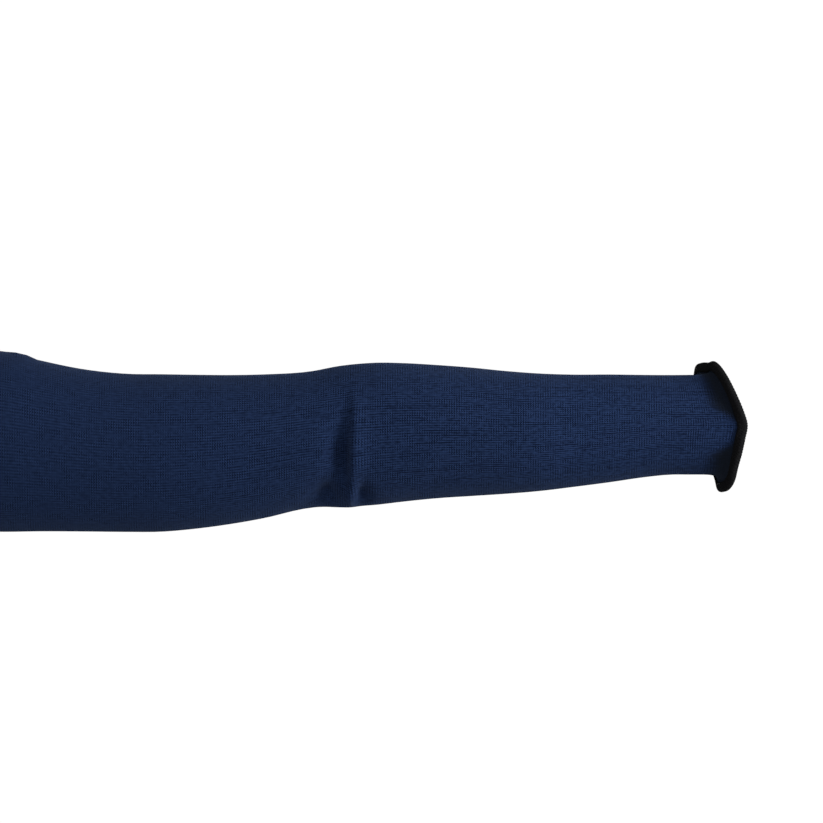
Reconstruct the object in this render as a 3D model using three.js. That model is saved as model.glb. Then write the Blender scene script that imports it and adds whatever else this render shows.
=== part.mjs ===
// A long knitted sleeve that guards the arm against cuts, shown filled out as an arm fills it.
// One seamless tube runs from the upper arm over the elbow to the wrist, with a crease bunched
// at the inside of the elbow. A thread edging is sewn over each cut end of the tube: a plain
// ring on the upper arm, and at the wrist a rim that curls outwards and waves.
// Millimetres, +X from the upper arm to the wrist, +Z up, the wearer's front towards -Y.
// The origin is the centre of the upper opening, in the plane of its rim.

import * as THREE from 'three';

// Whole sleeve
const sleeveLength = 560;
const fabricThickness = 1.6;

// Outside height and depth of the tube at five places along the arm
const openingHeight = 122;
const openingDepth = 112;
const upperArmHeight = 103;
const upperArmDepth = 98;
const elbowHeight = 89;
const elbowDepth = 86;
const forearmHeight = 92.6;
const forearmDepth = 84;
const wristHeight = 64.8;
const wristDepth = 48;

// How far the arm's centre line wanders, up and down and to the sides
const armRise = 10;
const armBow = 16;

// Depth of the crease at the elbow, how fast its sides fall away, and how far it bows back
// towards the upper arm at the top and bottom of the arm
const foldDepth = 7.5;
const foldWidth = 4;
const foldLean = 5;

// Wrist rim: the length of the tube that curls, how far the rim slants back from its foremost
// point, how far it stands out from the tube, and the steepest turn of its curl in degrees
const curlLength = 12;
const rimSlant = 31;
const rimFlare = 13.3;
const rimTurn = 84;

// Thread edging over the cut ends of the fabric
const edgingThickness = 1.2;
const edgingCover = 5;
const edgingClearance = 0.3;

// Facets of the finished meshes
const facetsAround = 40;
const plainStep = 18;
const creaseStep = 2.1;
const curlStep = 3;

const fabricColor = 0x1a2640;
const edgingColor = 0x121214;

const degree = Math.PI / 180;
const edgingReach = edgingClearance + edgingThickness;
const fabricStart = edgingReach;
const fabricEnd = sleeveLength - edgingReach;
const curlStart = sleeveLength - rimSlant - curlLength;
const coverStart = fabricEnd - edgingCover - edgingClearance;

const opening = { height: openingHeight, depth: openingDepth };
const upperArm = { height: upperArmHeight, depth: upperArmDepth };
const elbow = { height: elbowHeight, depth: elbowDepth };
const forearm = { height: forearmHeight, depth: forearmDepth };
const wrist = { height: wristHeight, depth: wristDepth };

// Sections along the arm. along is a share of sleeveLength, tall and deep are shares of the
// named place's height and depth, lift is a share of armRise and bow a share of armBow.
const sections = [
  { along: 0.0, place: opening, tall: 1.0, deep: 1.0, lift: 0.0, bow: 0.0 },
  { along: 0.07, place: opening, tall: 0.985, deep: 0.99, lift: -0.06, bow: 0.06 },
  { along: 0.136, place: upperArm, tall: 1.14, deep: 1.12, lift: -0.3, bow: 0.14 },
  { along: 0.18, place: upperArm, tall: 1.08, deep: 1.07, lift: -0.58, bow: 0.21 },
  { along: 0.23, place: upperArm, tall: 1.026, deep: 1.025, lift: -0.87, bow: 0.28 },
  { along: 0.28, place: upperArm, tall: 1.0, deep: 1.0, lift: -1.03, bow: 0.34 },
  { along: 0.32, place: upperArm, tall: 0.996, deep: 0.99, lift: -1.04, bow: 0.38 },
  { along: 0.36, place: upperArm, tall: 0.974, deep: 0.97, lift: -0.96, bow: 0.42 },
  { along: 0.4, place: upperArm, tall: 0.943, deep: 0.94, lift: -0.82, bow: 0.45 },
  { along: 0.44, place: elbow, tall: 1.052, deep: 1.03, lift: -0.6, bow: 0.47 },
  { along: 0.49, place: elbow, tall: 1.0, deep: 1.0, lift: -0.2, bow: 0.46 },
  { along: 0.53, place: forearm, tall: 1.0, deep: 1.0, lift: 0.02, bow: 0.42 },
  { along: 0.57, place: forearm, tall: 1.0, deep: 1.0, lift: 0.21, bow: 0.36 },
  { along: 0.6, place: forearm, tall: 0.976, deep: 0.99, lift: 0.3, bow: 0.3 },
  { along: 0.64, place: forearm, tall: 0.938, deep: 0.965, lift: 0.35, bow: 0.2 },
  { along: 0.68, place: forearm, tall: 0.904, deep: 0.93, lift: 0.34, bow: 0.08 },
  { along: 0.72, place: forearm, tall: 0.864, deep: 0.885, lift: 0.3, bow: -0.06 },
  { along: 0.76, place: forearm, tall: 0.826, deep: 0.83, lift: 0.31, bow: -0.22 },
  { along: 0.8, place: wrist, tall: 1.127, deep: 1.27, lift: 0.41, bow: -0.39 },
  { along: 0.84, place: wrist, tall: 1.083, deep: 1.16, lift: 0.56, bow: -0.58 },
  { along: 0.88, place: wrist, tall: 1.028, deep: 1.07, lift: 0.71, bow: -0.78 },
  { along: 0.91, place: wrist, tall: 1.0, deep: 1.02, lift: 0.79, bow: -0.92 },
  { along: 0.935, place: wrist, tall: 1.0, deep: 1.0, lift: 0.8, bow: -1.03 },
  { along: 1.0, place: wrist, tall: 1.0, deep: 1.0, lift: 0.8, bow: -1.33 },
];

// Folds in the tube. along is a share of sleeveLength; angle and spread are degrees round the
// arm from its front; before and after are shares of foldWidth, on the upper arm's side and on
// the wrist's; height is a share of foldDepth, below zero for a hollow; lean is a share of
// foldLean. In turn: the valley of the elbow's crease, the ridge beside it, the hollow under
// the elbow, the cleft beyond the ridge and the drag fold on top of the upper arm.
const folds = [
  { along: 0.536, angle: -12, spread: 36, before: 2.2, after: 0.85, height: -1.0, lean: 1.0 },
  { along: 0.546, angle: -22, spread: 50, before: 0.8, after: 1.5, height: 0.38, lean: 1.0 },
  { along: 0.512, angle: -58, spread: 20, before: 2.2, after: 2.0, height: -0.45, lean: 0.0 },
  { along: 0.5545, angle: -60, spread: 17, before: 0.8, after: 1.3, height: -0.4, lean: 0.0 },
  { along: 0.156, angle: 85, spread: 30, before: 1.9, after: 1.9, height: 0.2, lean: 0.0 },
];

// The wrist rim round the arm, from the front over the top. slant is a share of rimSlant,
// flare a share of rimFlare and turn a share of rimTurn.
const rimRows = [
  { angle: 0, slant: 0.0, flare: 0.2, turn: 0.24 },
  { angle: 15, slant: 0.1, flare: 0.34, turn: 0.38 },
  { angle: 30, slant: 0.24, flare: 0.46, turn: 0.55 },
  { angle: 45, slant: 0.385, flare: 0.6, turn: 0.7 },
  { angle: 60, slant: 0.525, flare: 0.71, turn: 0.83 },
  { angle: 75, slant: 0.67, flare: 0.78, turn: 0.93 },
  { angle: 90, slant: 0.78, flare: 0.66, turn: 1.0 },
  { angle: 105, slant: 0.92, flare: 0.77, turn: 1.0 },
  { angle: 120, slant: 1.0, flare: 1.0, turn: 1.0 },
  { angle: 150, slant: 0.98, flare: 0.85, turn: 0.85 },
  { angle: 180, slant: 0.85, flare: 0.65, turn: 0.65 },
  { angle: 210, slant: 0.7, flare: 0.72, turn: 0.7 },
  { angle: 240, slant: 0.56, flare: 1.0, turn: 0.88 },
  { angle: 255, slant: 0.54, flare: 1.0, turn: 0.96 },
  { angle: 270, slant: 0.49, flare: 0.9, turn: 1.0 },
  { angle: 285, slant: 0.4, flare: 0.85, turn: 0.93 },
  { angle: 300, slant: 0.31, flare: 0.74, turn: 0.8 },
  { angle: 315, slant: 0.24, flare: 0.57, turn: 0.64 },
  { angle: 330, slant: 0.135, flare: 0.39, turn: 0.45 },
  { angle: 345, slant: 0.05, flare: 0.25, turn: 0.28 },
];

// A smooth curve through the rows of a table, giving the named values at any position.
function curveThrough(rows, position, ...values) {
  const curve = new THREE.CubicInterpolant(
    rows.map(position),
    rows.flatMap((row) => values.map((value) => value(row))),
    values.length,
  );
  return (at) => Array.from(curve.evaluate(at));
}

const sectionAt = curveThrough(
  sections,
  (row) => row.along * sleeveLength,
  (row) => row.tall * row.place.height,
  (row) => row.deep * row.place.depth,
  (row) => row.lift * armRise,
  (row) => row.bow * armBow,
);

// The rim's rows are repeated a whole turn either way, so that its curve closes smoothly.
const rimAt = curveThrough(
  [-360, 0, 360].flatMap((turn) => rimRows.map((row) => ({ ...row, angle: row.angle + turn }))),
  (row) => row.angle * degree,
  (row) => row.slant * rimSlant,
  (row) => row.flare * rimFlare,
  (row) => row.turn * rimTurn * degree,
);

function bell(distance) {
  return Math.exp(-distance * distance);
}

// Degrees from one direction round the arm to another, the short way.
function degreesBetween(angle, other) {
  return THREE.MathUtils.euclideanModulo(angle / degree - other + 180, 360) - 180;
}

// How far the folds push the fabric out at a place on the tube.
function foldHeight(along, angle) {
  return folds.reduce((sum, fold) => {
    const round = degreesBetween(angle, fold.angle);
    const level = degreesBetween(angle, 0) / 90;
    const crest = fold.along * sleeveLength - fold.lean * foldLean * level * level;
    const width = foldWidth * (along < crest ? fold.before : fold.after);
    const share = bell((along - crest) / width) * bell(round / fold.spread);
    return sum + fold.height * foldDepth * share;
  }, 0);
}

// How far forward the fabric is at a distance along the sleeve, and how far out from the tube
// its wrist end stands there. It runs straight on to where it bends, round the bend, and
// straight again to the cut end under the edging.
function wristEnd(along, angle) {
  const [slant, flare, turn] = rimAt(angle);
  const heading = new THREE.Vector2(Math.cos(turn), Math.sin(turn));
  const tip = new THREE.Vector2(sleeveLength - slant, flare);
  if (along > coverStart) {
    return tip.addScaledVector(heading, along - sleeveLength);
  }
  const bend = new THREE.Vector2(tip.x - curlLength, 0);
  const root = tip.addScaledVector(heading, coverStart - sleeveLength);
  const forward = (root.x - bend.x) / 2;
  const outward = Math.min(forward, Math.max(root.y, 0) / Math.max(heading.y, heading.x));
  const bendHandle = new THREE.Vector2(bend.x + forward, 0);
  const rootHandle = root.clone().addScaledVector(heading, -outward);
  const path = new THREE.CurvePath();
  path.add(new THREE.LineCurve(new THREE.Vector2(curlStart, 0), bend));
  path.add(new THREE.CubicBezierCurve(bend, bendHandle, rootHandle, root));
  return path.getPoint((along - curlStart) / (coverStart - curlStart));
}

// The middle of the fabric's thickness, at a distance along the sleeve and an angle round it
// from the front over the top.
function fabricPoint(along, angle) {
  const end = along > curlStart ? wristEnd(along, angle) : new THREE.Vector2(along, 0);
  const [height, depth, lift, bow] = sectionAt(end.x);
  const front = Math.cos(angle);
  const up = Math.sin(angle);
  const outward = new THREE.Vector3(0, -front / depth, up / height).normalize();
  return new THREE.Vector3(end.x, bow - (front * depth) / 2, lift + (up * height) / 2)
    .addScaledVector(outward, foldHeight(along, angle) + end.y - fabricThickness / 2);
}

// The fabric's middle at a place, its direction towards the wrist and its outward normal.
function fabricFrame(along, angle) {
  const step = 0.02;
  const wristwards = fabricPoint(along, angle).sub(fabricPoint(along - step, angle)).normalize();
  const round = fabricPoint(along, angle + step).sub(fabricPoint(along, angle - step));
  const normal = new THREE.Vector3().crossVectors(wristwards, round).normalize();
  return { point: fabricPoint(along, angle), wristwards, normal };
}

// A closed ring of fabric or thread: a lathed loop whose rings of vertices are then set on the
// arm by place(corner, angle). A corner is a point of the loop, given as its distance along
// the sleeve and its height above the middle of the fabric.
function ringAroundArm(name, corners, place, material) {
  const loop = [...corners, corners[0]];
  const profile = loop.map(({ along, height }) => new THREE.Vector2(wristDepth + height, along));
  const geometry = new THREE.LatheGeometry(profile, facetsAround);
  const position = geometry.getAttribute('position');
  for (let index = 0; index < position.count; index += 1) {
    const facet = Math.floor(index / loop.length) % facetsAround;
    const corner = loop[index % loop.length];
    const spot = place(corner, (facet / facetsAround) * 2 * Math.PI);
    position.setXYZ(index, spot.x, spot.y, spot.z);
  }
  geometry.computeVertexNormals();
  const mesh = new THREE.Mesh(geometry, material);
  mesh.name = name;
  return mesh;
}

function stepsBetween(start, end, step) {
  const count = Math.max(1, Math.round((end - start) / step));
  return Array.from({ length: count }, (_, index) => start + ((end - start) * index) / count);
}

// The knitted tube: its inner face from the upper arm to the wrist and its outer face back.
function knittedTube(material) {
  const creases = folds.filter((fold) => fold.lean > 0).map((fold) => fold.along * sleeveLength);
  const creaseStart = Math.min(...creases) - foldLean - 4 * foldWidth;
  const creaseEnd = Math.max(...creases) + 3.5 * foldWidth;
  const stations = [
    ...stepsBetween(fabricStart, creaseStart, plainStep),
    ...stepsBetween(creaseStart, creaseEnd, creaseStep),
    ...stepsBetween(creaseEnd, curlStart, plainStep),
    ...stepsBetween(curlStart, coverStart, curlStep),
    ...stepsBetween(coverStart, fabricEnd, curlStep),
    fabricEnd,
  ];
  const face = (height) => stations.map((along) => ({ along, height }));
  const corners = [...face(-fabricThickness / 2), ...face(fabricThickness / 2).reverse()];
  const place = ({ along, height }, angle) => {
    const { point, normal } = fabricFrame(along, angle);
    return point.addScaledVector(normal, height);
  };
  return ringAroundArm('sleeve_tube', corners, place, material);
}

// The thread edging over a cut end: a channel that wraps the fabric, with a rounded outer lip.
// towards is 1 at the wrist, where the fabric's direction leads out of the end, or else -1.
function threadEdging(name, cutEnd, towards, material) {
  const inner = fabricThickness / 2 + edgingClearance;
  const outer = inner + edgingThickness;
  const lip = new THREE.EllipseCurve(
    edgingReach - outer, 0, outer, outer, -Math.PI / 2, Math.PI / 2,
  ).getPoints(5);
  const wall = [-edgingCover, (edgingClearance - edgingCover) / 2, edgingClearance];
  const section = [
    { along: -edgingCover, height: -outer },
    ...lip.map(({ x, y }) => ({ along: x, height: y })),
    { along: -edgingCover, height: outer },
    ...wall.map((along) => ({ along, height: inner })),
    ...wall.map((along) => ({ along, height: -inner })).reverse(),
  ];
  const corners = towards > 0 ? section : section.reverse();
  const place = ({ along, height }, angle) => {
    const { point, wristwards, normal } = fabricFrame(cutEnd, angle);
    return point
      .addScaledVector(wristwards, along * towards)
      .addScaledVector(normal, height);
  };
  return ringAroundArm(name, corners, place, material);
}

const knit = new THREE.MeshStandardMaterial({ color: fabricColor, roughness: 0.9, metalness: 0 });
const thread = new THREE.MeshStandardMaterial({ color: edgingColor, roughness: 0.85, metalness: 0 });

const sleeve = new THREE.Group();
sleeve.add(
  knittedTube(knit),
  threadEdging('upper_edging', fabricStart, -1, thread),
  threadEdging('wrist_edging', fabricEnd, 1, thread),
);

export default sleeve;
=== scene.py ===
import math

import bmesh
import bpy
import numpy as np
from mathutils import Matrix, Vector


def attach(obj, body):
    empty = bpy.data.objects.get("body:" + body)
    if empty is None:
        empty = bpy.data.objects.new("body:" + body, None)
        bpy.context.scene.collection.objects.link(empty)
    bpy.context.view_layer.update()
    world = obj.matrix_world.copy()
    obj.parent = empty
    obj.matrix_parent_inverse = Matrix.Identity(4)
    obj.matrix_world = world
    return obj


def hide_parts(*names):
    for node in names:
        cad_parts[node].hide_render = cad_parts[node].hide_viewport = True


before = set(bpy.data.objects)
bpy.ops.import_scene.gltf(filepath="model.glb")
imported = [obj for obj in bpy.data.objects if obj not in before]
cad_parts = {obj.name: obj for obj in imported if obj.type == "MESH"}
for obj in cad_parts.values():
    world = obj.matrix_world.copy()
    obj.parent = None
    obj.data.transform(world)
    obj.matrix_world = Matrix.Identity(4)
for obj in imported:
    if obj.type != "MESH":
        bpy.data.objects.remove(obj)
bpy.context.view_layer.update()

# Metres and radians, in the frame of the model: +X runs from the upper arm to the wrist, +Z is
# up and the camera stands on the -Y side. Angles round the sleeve start at the front, which
# faces the camera, and go over the top.

# Knitted tube. One seamless tube of navy rib knit, made round and round on a knitting machine.
# Filled out as when worn, it is stretched smooth and bunches into a crease at the elbow. The
# knit curls, so its cut end springs outwards at the wrist and its rim waves and slants.

sleeve_length = 0.560
fabric_thickness = 0.0016
columns_round = 168
course_length = 0.0016
stitch_slant = 0.9
stitch_depth = 0.0004

navy_dark = (0.0051, 0.0095, 0.028, 1)
navy_bright = (0.0245, 0.048, 0.129, 1)
# Black of the stitches near the wrist, which also stands in for painted shade of the curled rim
stitch_and_shade_black = (0.012, 0.015, 0.020, 1)

# Black from the wrist's edging runs in over the knit and fades out round its reach. It is partly
# black stitches of the edging and partly painted shade, where the curled rim shades the knit. It
# reaches least far on a tongue of bare knit at the front, where the rim hardly curls and the
# knit is lit. Its middle is a share of the way round, and so are the distances from there
# between which the black comes to its full reach.
stitch_and_shade_reach = 0.0175
stitch_and_shade_fade = (-0.008, 0.004)
tongue_reach = 0.003
tongue_place = -0.021
tongue_side = (0.02, 0.09)

# Outside height and depth of the tube at five places along the sleeve
opening = (0.122, 0.112)
upper_arm = (0.103, 0.098)
elbow = (0.089, 0.086)
forearm = (0.0926, 0.084)
wrist = (0.0648, 0.048)

sleeve_rise = 0.010
sleeve_bow = 0.016

fold_depth = 0.0075
fold_width = 0.004
fold_lean = 0.005
fold_roll = 0.0018

curl_length = 0.017
rim_slant = 0.031
rim_flare = 0.0133
rim_turn = math.radians(84)

edging_thickness = 0.0012
edging_cover = 0.005
edging_clearance = 0.0003

edging_reach = edging_clearance + edging_thickness
fabric_start = edging_reach
fabric_end = sleeve_length - edging_reach
curl_start = sleeve_length - rim_slant - curl_length
cover_start = fabric_end - edging_cover - edging_clearance

# Each row: share of the sleeve's length; place; shares of that place's height and depth; and
# shares of the sleeve's rise and bow
sections = (
    (0.0, opening, 1.0, 1.0, 0.0, 0.0),
    (0.07, opening, 0.985, 0.99, -0.06, 0.06),
    (0.136, upper_arm, 1.14, 1.12, -0.3, 0.14),
    (0.18, upper_arm, 1.08, 1.07, -0.58, 0.21),
    (0.23, upper_arm, 1.026, 1.025, -0.87, 0.28),
    (0.28, upper_arm, 1.0, 1.0, -1.03, 0.34),
    (0.32, upper_arm, 0.996, 0.99, -1.04, 0.38),
    (0.36, upper_arm, 0.974, 0.97, -0.96, 0.42),
    (0.4, upper_arm, 0.943, 0.94, -0.82, 0.45),
    (0.44, elbow, 1.052, 1.03, -0.6, 0.47),
    (0.49, elbow, 1.0, 1.0, -0.2, 0.46),
    (0.53, forearm, 1.0, 1.0, 0.02, 0.42),
    (0.57, forearm, 1.0, 1.0, 0.21, 0.36),
    (0.6, forearm, 0.976, 0.99, 0.3, 0.3),
    (0.64, forearm, 0.938, 0.965, 0.35, 0.2),
    (0.68, forearm, 0.904, 0.93, 0.34, 0.08),
    (0.72, forearm, 0.864, 0.885, 0.3, -0.06),
    (0.76, forearm, 0.826, 0.83, 0.31, -0.22),
    (0.8, wrist, 1.127, 1.27, 0.41, -0.39),
    (0.84, wrist, 1.083, 1.16, 0.56, -0.58),
    (0.88, wrist, 1.028, 1.07, 0.71, -0.78),
    (0.91, wrist, 1.0, 1.02, 0.79, -0.92),
    (0.935, wrist, 1.0, 1.0, 0.8, -1.03),
    (1.0, wrist, 1.0, 1.0, 0.8, -1.33),
)

# Each row: share of the sleeve's length; angle and spread in degrees; shares of the fold's
# width towards the upper arm and towards the wrist; and shares of its depth, lean and roll. In
# turn: the valley of the elbow's crease, the ridge beside it, a small ridge at the crease's
# lower end, the hollow under the elbow, the cleft beyond the ridge, and the drag fold on top.
folds = (
    (0.5345, -17, 27, 2.5, 0.95, -1.1, 0.8, 0.0),
    (0.5475, -16, 42, 0.8, 1.5, 0.42, 1.0, 1.0),
    (0.539, -58, 14, 1.1, 1.0, 0.31, 0.0, 0.0),
    (0.513, -60, 20, 2.2, 2.2, -1.1, 0.0, 0.0),
    (0.5525, -59, 18, 0.8, 1.5, -0.7, 0.0, 0.0),
    (0.1602, 85, 30, 1.9, 0.8, 0.25, 0.0, 0.0),
)

# Each row: degrees round the rim; and shares of its slant, flare and turn
rim = (
    (0, 0.0, 0.08, 0.08),
    (15, 0.1, 0.34, 0.42),
    (30, 0.25, 0.6, 0.7),
    (45, 0.41, 0.82, 0.85),
    (60, 0.56, 0.88, 0.95),
    (75, 0.69, 0.84, 1.0),
    (90, 0.78, 0.66, 1.0),
    (105, 0.92, 0.77, 1.0),
    (120, 1.0, 1.0, 1.0),
    (150, 0.98, 0.85, 0.85),
    (180, 0.85, 0.65, 0.65),
    (210, 0.7, 0.72, 0.7),
    (240, 0.56, 1.0, 0.88),
    (255, 0.54, 1.0, 0.96),
    (270, 0.49, 0.9, 1.0),
    (285, 0.4, 0.92, 0.97),
    (300, 0.31, 0.9, 0.9),
    (315, 0.24, 0.78, 0.78),
    (330, 0.135, 0.5, 0.55),
    (345, 0.05, 0.2, 0.22),
)


def smooth_curve(rows, at):
    """Values at some places on smooth curves through a table's rows, which start with their
    own place. A curve's slope at a row is the mean of the slopes on either side of it."""
    knots, values = np.array(rows)[:, 0], np.array(rows)[:, 1:]
    secants = np.diff(values, axis=0) / np.diff(knots)[:, None]
    slopes = (np.vstack([secants[:1], secants]) + np.vstack([secants, secants[-1:]])) / 2
    span = np.clip(np.searchsorted(knots, at, side="right") - 1, 0, len(knots) - 2)
    gap = np.diff(knots)[span, None]
    t = (at - knots[span])[:, None] / gap
    rise = values[span + 1] - values[span]
    leave = slopes[span] * gap
    bend = leave + slopes[span + 1] * gap - 2 * rise
    return (values[span] + t * (leave + t * (rise - leave - bend + t * bend))).T


section_sizes = [
    (along * sleeve_length, tall * height, deep * depth, lift * sleeve_rise, bow * sleeve_bow)
    for along, (height, depth), tall, deep, lift, bow in sections
]

# The rim's rows are repeated a whole turn either way, so that its curve closes smoothly.
rim_sizes = [
    (math.radians(angle + turn), slant * rim_slant, flare * rim_flare, curl * rim_turn)
    for turn in (-360, 0, 360)
    for angle, slant, flare, curl in rim
]


def side_by_side(*columns):
    """An array with these columns. A number stands for a column that is the same all down."""
    return np.stack(np.broadcast_arrays(*columns), axis=1)


def bell(distance):
    return np.exp(-distance * distance)


def degrees_from(start, angle):
    """Degrees from start to an angle in radians, the short way round."""
    return (np.degrees(angle) - start + 180) % 360 - 180


def fold_push(along, angle):
    """How far the folds push the fabric out, and how far they roll it towards the upper arm."""
    height = np.zeros_like(along)
    rolled = np.zeros_like(along)
    for share, centre, spread, before, after, deep, lean, roll in folds:
        level = degrees_from(0, angle) / 90
        crest = share * sleeve_length - lean * fold_lean * level * level
        width = fold_width * np.where(along < crest, before, after)
        bump = bell((along - crest) / width) * bell(degrees_from(centre, angle) / spread)
        height += deep * fold_depth * bump
        rolled += roll * fold_roll * bump
    return height, rolled


def wrist_end(along, angle):
    """How far forward the fabric is, and how far out from the tube its wrist end stands. It
    runs straight on to where it bends, round the bend, and straight under the edging."""
    slant, flare, turn = smooth_curve(rim_sizes, angle)
    forward, outward = np.cos(turn), np.sin(turn)
    bend_x = sleeve_length - slant - curl_length
    root_x = sleeve_length - slant + forward * (cover_start - sleeve_length)
    root_y = flare + outward * (cover_start - sleeve_length)
    reach = (root_x - bend_x) / 2
    handle = np.minimum(reach, np.maximum(root_y, 0) / np.maximum(outward, forward))

    straight = bend_x - curl_start
    slope = np.hypot(root_x - bend_x, root_y)
    run = (along - curl_start) / (cover_start - curl_start) * (straight + slope)
    t = np.clip((run - straight) / slope, 0, 1)

    # Shares of the second, third and last points of the bend's Bezier curve
    near, far, last = 3 * t * (1 - t) ** 2, 3 * t * t * (1 - t), t ** 3
    x = bend_x * (1 - t) ** 3 + near * (bend_x + reach)
    x += far * (root_x - handle * forward) + last * root_x
    y = far * (root_y - handle * outward) + last * root_y
    x += np.minimum(run - straight, 0)
    covered = np.maximum(along - cover_start, 0)
    return x + covered * forward, y + covered * outward


def fabric_middle(along, angle):
    """Points in the middle of the fabric's thickness."""
    end_x, end_y = wrist_end(along, angle)
    pushed, rolled = fold_push(along, angle)
    curled = along > curl_start
    x = np.where(curled, end_x, along - rolled)
    height, depth, lift, bow = smooth_curve(section_sizes, x)
    front, up = np.cos(angle), np.sin(angle)
    lean_y, lean_z = -front / depth, up / height
    out = pushed + np.where(curled, end_y, 0) - fabric_thickness / 2
    out /= np.hypot(lean_y, lean_z)
    y = bow - front * depth / 2 + out * lean_y
    z = lift + up * height / 2 + out * lean_z
    return side_by_side(x, y, z)


def unit(vectors):
    return vectors / np.linalg.norm(vectors, axis=1, keepdims=True)


def fabric_frame(along, angle):
    """Points in the middle of the fabric, its direction there towards the wrist, and its
    outward normal."""
    short_way, small_turn = 0.00002, 0.0005
    point = fabric_middle(along, angle)
    wristwards = point - fabric_middle(along - short_way, angle)
    over = fabric_middle(along, angle + small_turn) - fabric_middle(along, angle - small_turn)
    return point, unit(wristwards), unit(np.cross(wristwards, over))


def sleeve_ring(name, columns, loop, place, body="root"):
    """A closed ring round the sleeve. It starts as a flat cloth with a row of vertices for each
    point of a closed loop, which gives it its UV map, share round by share of the loop's
    length. place(loop's points, angles) then says where its vertices go."""
    loop = np.vstack([loop, loop[:1]])
    run = np.append(0, np.cumsum(np.linalg.norm(np.diff(loop[:, :2], axis=0), axis=1)))
    bm = bmesh.new()
    bmesh.ops.create_grid(bm, x_segments=columns, y_segments=len(loop) - 1, size=0.5)
    bmesh.ops.translate(bm, verts=bm.verts, vec=(0.5, 0.5, 0))
    flat = np.array([vert.co for vert in bm.verts])
    row = np.rint(flat[:, 1] * (len(loop) - 1)).astype(int)
    for vert, share in zip(bm.verts, run[row] / run[-1]):
        vert.co.y = share
    cloth = bm.loops.layers.uv.new("cloth")
    for face in bm.faces:
        for corner in face.loops:
            corner[cloth].uv = corner.vert.co.xy
    for vert, spot in zip(bm.verts, place(loop[row], flat[:, 0] * 2 * math.pi)):
        vert.co = spot
    bmesh.ops.remove_doubles(bm, verts=bm.verts, dist=1e-6)
    bmesh.ops.recalc_face_normals(bm, faces=bm.faces)
    mesh = bpy.data.meshes.new(name)
    bm.to_mesh(mesh)
    bm.free()
    mesh.shade_smooth()
    ring = bpy.data.objects.new(name, mesh)
    bpy.context.scene.collection.objects.link(ring)
    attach(ring, body)
    return ring, run[-1]


# Distances between the rows of vertices on the fabric's outer face, and how much coarser the
# inner face is
upper_arm_step = 0.007
forearm_step = 0.006
fine_step = 0.0011
covered_step = 0.0013
inside_coarseness = 2.4


def spread(start, end, step):
    """Evenly spaced places from start up to end, which is left out."""
    return np.linspace(start, end, round((end - start) / step), endpoint=False)


def fabric_face(height, coarseness):
    """The loop's points on one face of the fabric, close together at the crease and curl."""
    valley, ridge = folds[0][0] * sleeve_length, folds[1][0] * sleeve_length
    crease_start = valley - fold_lean - 4 * fold_width
    crease_end = ridge + 3.5 * fold_width
    along = np.concatenate([
        spread(fabric_start, crease_start, upper_arm_step * coarseness),
        spread(crease_start, crease_end, fine_step * coarseness),
        spread(crease_end, curl_start, forearm_step * coarseness),
        spread(curl_start, cover_start, fine_step * coarseness),
        spread(cover_start, fabric_end, covered_step * coarseness),
        [fabric_end],
    ])
    return side_by_side(along, height)


def on_fabric(loop, angle):
    point, _, normal = fabric_frame(loop[:, 0], angle)
    return point + normal * loop[:, 1:2]


class Shade:
    """A value or colour in a material's nodes. Sums, differences and products of them and of
    numbers add Math nodes."""

    def __init__(self, tree, socket=None):
        self.tree = tree
        self.socket = socket

    def fill(self, node, inputs):
        """Sets or links a node's inputs."""
        for name, value in inputs.items():
            if isinstance(value, Shade):
                self.tree.links.new(value.socket, node.inputs[name])
            else:
                node.inputs[name].default_value = value

    def node(self, kind, inputs, output=0, **settings):
        """One output of a new node, given its settings and the values of its inputs."""
        node = self.tree.nodes.new("ShaderNode" + kind)
        for name, setting in settings.items():
            setattr(node, name, setting)
        self.fill(node, inputs)
        return Shade(self.tree, node.outputs[output])

    def math(self, operation, *values):
        return self.node("Math", dict(enumerate(values)), operation=operation)

    def __add__(self, other):
        return self.math("ADD", self, other)

    def __sub__(self, other):
        return self.math("SUBTRACT", self, other)

    def __rsub__(self, other):
        return self.math("SUBTRACT", other, self)

    def __mul__(self, other):
        return self.math("MULTIPLY", self, other)

    __radd__ = __add__
    __rmul__ = __mul__

    def __abs__(self):
        return self.math("ABSOLUTE", self)

    def step(self, low, high):
        """Smoothly from 0 at low to 1 at high."""
        inputs = {"Value": self, "From Min": low, "From Max": high}
        return self.node("MapRange", inputs, interpolation_type="SMOOTHSTEP")

    def noise(self, detail, roughness):
        inputs = {"Vector": self, "Scale": 1.0, "Detail": detail, "Roughness": roughness}
        return self.node("TexNoise", inputs)

    def scaled(self, *factors):
        inputs = {0: self, 1: factors}
        return self.node("VectorMath", inputs, operation="MULTIPLY")

    def on_cylinder(self, radius, height):
        """A point of a cylinder at this share of the way round, so a pattern has no seam."""
        turn = self * (2 * math.pi)
        across = self.math("COSINE", turn) * radius
        up = self.math("SINE", turn) * radius
        return self.node("CombineXYZ", {0: across, 1: up, 2: height})

    def mixed(self, first, second):
        """A colour between two others, by this share."""
        inputs = {0: self, 6: first, 7: second}
        return self.node("Mix", inputs, output=2, data_type="RGBA")


def cloth_material(name):
    """A material, its surface shader, a maker of nodes, and the place on the flat cloth: the
    share of the way round, and the share of the loop."""
    material = bpy.data.materials.new(name)
    material.use_nodes = True
    shade = Shade(material.node_tree)
    place = shade.node("UVMap", {}, uv_map="cloth")
    around = shade.node("SeparateXYZ", {0: place}, output=0)
    along = shade.node("SeparateXYZ", {0: place}, output=1)
    return material, material.node_tree.nodes["Principled BSDF"], shade, around, along


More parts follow.
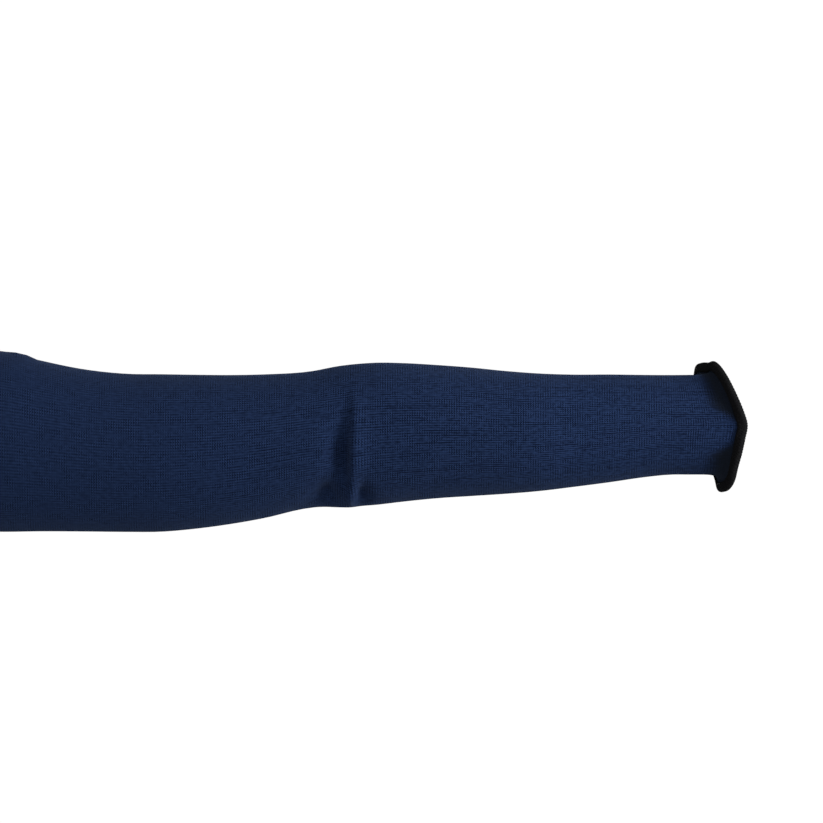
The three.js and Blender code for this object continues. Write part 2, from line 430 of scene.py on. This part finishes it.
def knit_material(loop_length):
    """Navy knit: columns of V stitches, of yarn that is a little uneven. The stitches' relief is
    laid into the colour too, as painted shade in the furrows and dips and painted light on the
    crests.
    It shows more towards the wrist, where some furrows between the columns are pulled open and
    their painted shade is darker. The unevenness is laid on a cylinder, one column and one
    course to the unit."""
    material, surface, shade, around, along = cloth_material("knit")
    column = around * columns_round
    course = along * (loop_length / course_length)
    off_crest = abs(column.math("FRACT", column + 0.5) - 0.5)
    off_stitch = abs(column.math("FRACT", course - off_crest * stitch_slant) - 0.5)

    # Patches in which the columns, the courses and the painted shade of open furrows show, and
    # specks of yarn
    ring = around.on_cylinder(columns_round / (2 * math.pi), course)
    ribbing = ring.scaled(0.3, 0.3, 0.12).noise(1.0, 0.5).step(0.3, 0.65)
    stitching = ring.scaled(0.3, 0.3, 0.2).noise(1.0, 0.5).step(0.4, 0.75)
    pulled = ring.scaled(0.7, 0.7, 0.03).noise(1.0, 0.5).step(0.5, 0.68)
    grain = ring.scaled(1.2, 1.2, 0.5).noise(1.0, 0.5)

    # How much the stitches' painted shade and the yarn's unevenness show in the colour, which
    # grows from the upper arm to the wrist
    loose = (along * (loop_length / sleeve_length)).step(0.1, 0.9) * 0.85 + 0.45

    # How much of the knit the black covers, by its distance from the cut end on either face:
    # black stitches and painted shade of the curled rim
    to_end = abs(along * loop_length - (fabric_end - fabric_start))
    from_tongue = abs(around.math("FRACT", around + (0.5 - tongue_place)) - 0.5)
    reach = from_tongue.step(*tongue_side) * (stitch_and_shade_reach - tongue_reach) + tongue_reach
    stitch_and_shade_cover = (reach - to_end).step(*stitch_and_shade_fade) * 0.85

    # The stitches' height, for the bump and for the colour, where it paints shade in the furrows
    # and dips and light on the crests
    columns = (0.5 - off_crest * 2) * (ribbing * 0.8 + 0.1)
    courses = (0.5 - off_stitch * 2) * (stitching * 1.6 + 0.2)
    stitch = columns + courses
    # Painted shade in the open furrows, deeper towards the wrist
    furrow_shade = (off_crest.step(0.15, 0.4) * pulled - 0.2) * (loose * 0.55 - 0.25)
    tone = (stitch + (grain - 0.5) * 1.2) * loose - furrow_shade + 0.45
    # The navy under the black is darkened too, as part of the same painted shade
    navy = (tone * (1 - stitch_and_shade_cover * 0.6)).mixed(navy_dark, navy_bright)
    relief = {"Height": stitch, "Strength": 0.5, "Distance": stitch_depth}
    shade.fill(surface, {
        "Base Color": stitch_and_shade_cover.mixed(navy, stitch_and_shade_black),
        "Normal": shade.node("Bump", relief),
        "Roughness": 0.85,
        "Specular IOR Level": 0.0,
        "Sheen Weight": 0.07,
        "Sheen Roughness": 0.45,
        "Sheen Tint": (0.55, 0.7, 1.0, 1),
    })
    return material


loop = np.vstack([
    fabric_face(fabric_thickness / 2, 1),
    fabric_face(-fabric_thickness / 2, inside_coarseness)[::-1],
])
sleeve, loop_length = sleeve_ring("sleeve_knit", columns_round * 2, loop, on_fabric)
sleeve.data.materials.append(knit_material(loop_length))
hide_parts("sleeve_tube")

# Thread edgings. Black overlock thread is sewn over each cut end, so that the knit can't run:
# slanted threads lie side by side and wrap the edge from face to face. The wrist's edging
# curls outwards with the fabric, and the upper arm's is a plain ring.

thread_width = 0.0018
thread_depth = 0.0004
thread_slant = 0.6
wrist_threads = 128
upper_threads = 200
mouth_taper = 0.0012

thread_dark = (0.007, 0.007, 0.008, 1)
thread_bright = (0.015, 0.015, 0.016, 1)
fibre_relief = 0.0006
fibres_round = 110
fibres_along = 26


def edging_section():
    """The closed loop of an edging's section, from its mouth on the inner face round the lip
    and back inside. Columns: distance out of the cut end, height above the middle of the
    fabric, and the direction in which the threads stand out."""
    inner = fabric_thickness / 2 + edging_clearance
    outer = inner + edging_thickness
    centre = edging_reach - outer
    leg = np.linspace(-edging_cover, centre, 5, endpoint=False)
    taper = np.clip((leg + edging_cover) / mouth_taper, 0.3, 1)
    rise = inner + edging_thickness * np.sqrt(taper)
    lip = np.linspace(-math.pi / 2, math.pi / 2, 13)
    out, up = np.cos(lip), np.sin(lip)
    wall = np.linspace(edging_clearance, -edging_cover, 4)
    return np.vstack([
        side_by_side(leg, -rise, 0, -1),
        side_by_side(centre + outer * out, outer * up, out, up),
        side_by_side(leg, rise, 0, 1)[::-1],
        side_by_side(wall[::-1], inner, 0, 0),
        side_by_side(wall, -inner, 0, 0),
    ])


def thread_edging(name, node, cut_end, towards, threads):
    """An edging over a cut end. towards is 1 at the wrist, where the fabric's direction leads
    out of the end, or else -1."""
    def place(loop, angle):
        along, height, push_along, push_height = loop.T
        point, wristwards, normal = fabric_frame(np.full_like(angle, cut_end), angle)
        turn = threads * angle / (2 * math.pi) + thread_slant * along / thread_width
        relief = thread_depth * (abs(np.cos(math.pi * turn)) - 0.7)
        along = (along + relief * push_along) * towards
        height = height + relief * push_height
        return point + wristwards * along[:, None] + normal * height[:, None]

    edging, _ = sleeve_ring(name, threads * 4, edging_section(), place)
    edging.data.materials.append(thread)
    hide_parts(node)
    return edging


def thread_material():
    """Matt black thread of twisted fibres, finer round the ring than along the thread."""
    material, surface, shade, around, along = cloth_material("edging_thread")
    fibres = around.on_cylinder(fibres_round, along * fibres_along).noise(3.0, 0.6)
    relief = {"Height": fibres, "Strength": 0.8, "Distance": fibre_relief}
    shade.fill(surface, {
        "Base Color": fibres.step(0.35, 0.7).mixed(thread_dark, thread_bright),
        "Normal": shade.node("Bump", relief),
        "Roughness": 0.8,
        "Specular IOR Level": 0.02,
    })
    return material


thread = thread_material()
wrist_rim = thread_edging("wrist_thread", "wrist_edging", fabric_end, 1, wrist_threads)
upper_rim = thread_edging("upper_thread", "upper_edging", fabric_start, -1, upper_threads)

# Studio. A white room lights the sleeve softly from all round. Two lamps on the right rake along
# it and show its shape, a third there and one on the left fill in from the front, and the last
# stands behind it.

room_light = 0.344
backdrop_light = 1.024
lamps_aim = Vector((sleeve_length * 0.6, 0, 0))


def soft_lamp(name, place, size, power):
    """A round lamp that faces the sleeve and is not seen itself."""
    lamp = bpy.data.lights.new(name, "AREA")
    lamp.shape = "DISK"
    lamp.size = size
    lamp.energy = power
    stand = bpy.data.objects.new(name, lamp)
    stand.location = place
    sight = lamps_aim - stand.location
    stand.rotation_euler = sight.to_track_quat("-Z", "Y").to_euler()
    stand.visible_camera = False
    bpy.context.scene.collection.objects.link(stand)


room = bpy.data.worlds.new("white_room")
room.use_nodes = True
bpy.context.scene.world = room
shade = Shade(room.node_tree)
seen = shade.node("LightPath", {}, output="Is Camera Ray")
strength = seen * (backdrop_light - room_light) + room_light
shade.fill(room.node_tree.nodes["Background"], {"Color": (1, 1, 1, 1), "Strength": strength})

soft_lamp("high_lamp", (1.3, -0.25, 1.2), 0.5, 5)
soft_lamp("key_lamp", (1.3, -0.52, 0.05), 0.5, 8)
soft_lamp("fill_lamp", (1.3, -1.9, 0.3), 0.8, 3.2)
soft_lamp("left_lamp", (-2.2, -2.6, 0.5), 1.0, 5)
soft_lamp("back_lamp", (0.0, 3.0, 0.6), 0.7, 70)

# Camera. Level and square to the sleeve, far off with a long lens. The picture's width takes in
# 535 mm at the sleeve and leaves out the last of the upper arm.

picture_width = 0.5355
picture_x = 0.3422
picture_z = 0.0166
camera_distance = 10.0
lens = bpy.data.cameras.new("camera")
lens.sensor_width = 36
lens.lens = lens.sensor_width * camera_distance / picture_width
lens.clip_end = 100
camera = bpy.data.objects.new("camera", lens)
camera.location = (picture_x, -camera_distance, picture_z)
camera.rotation_euler = (math.pi / 2, 0, 0)
bpy.context.scene.collection.objects.link(camera)
bpy.context.scene.camera = camera
bpy.context.scene.view_settings.view_transform = "Standard"
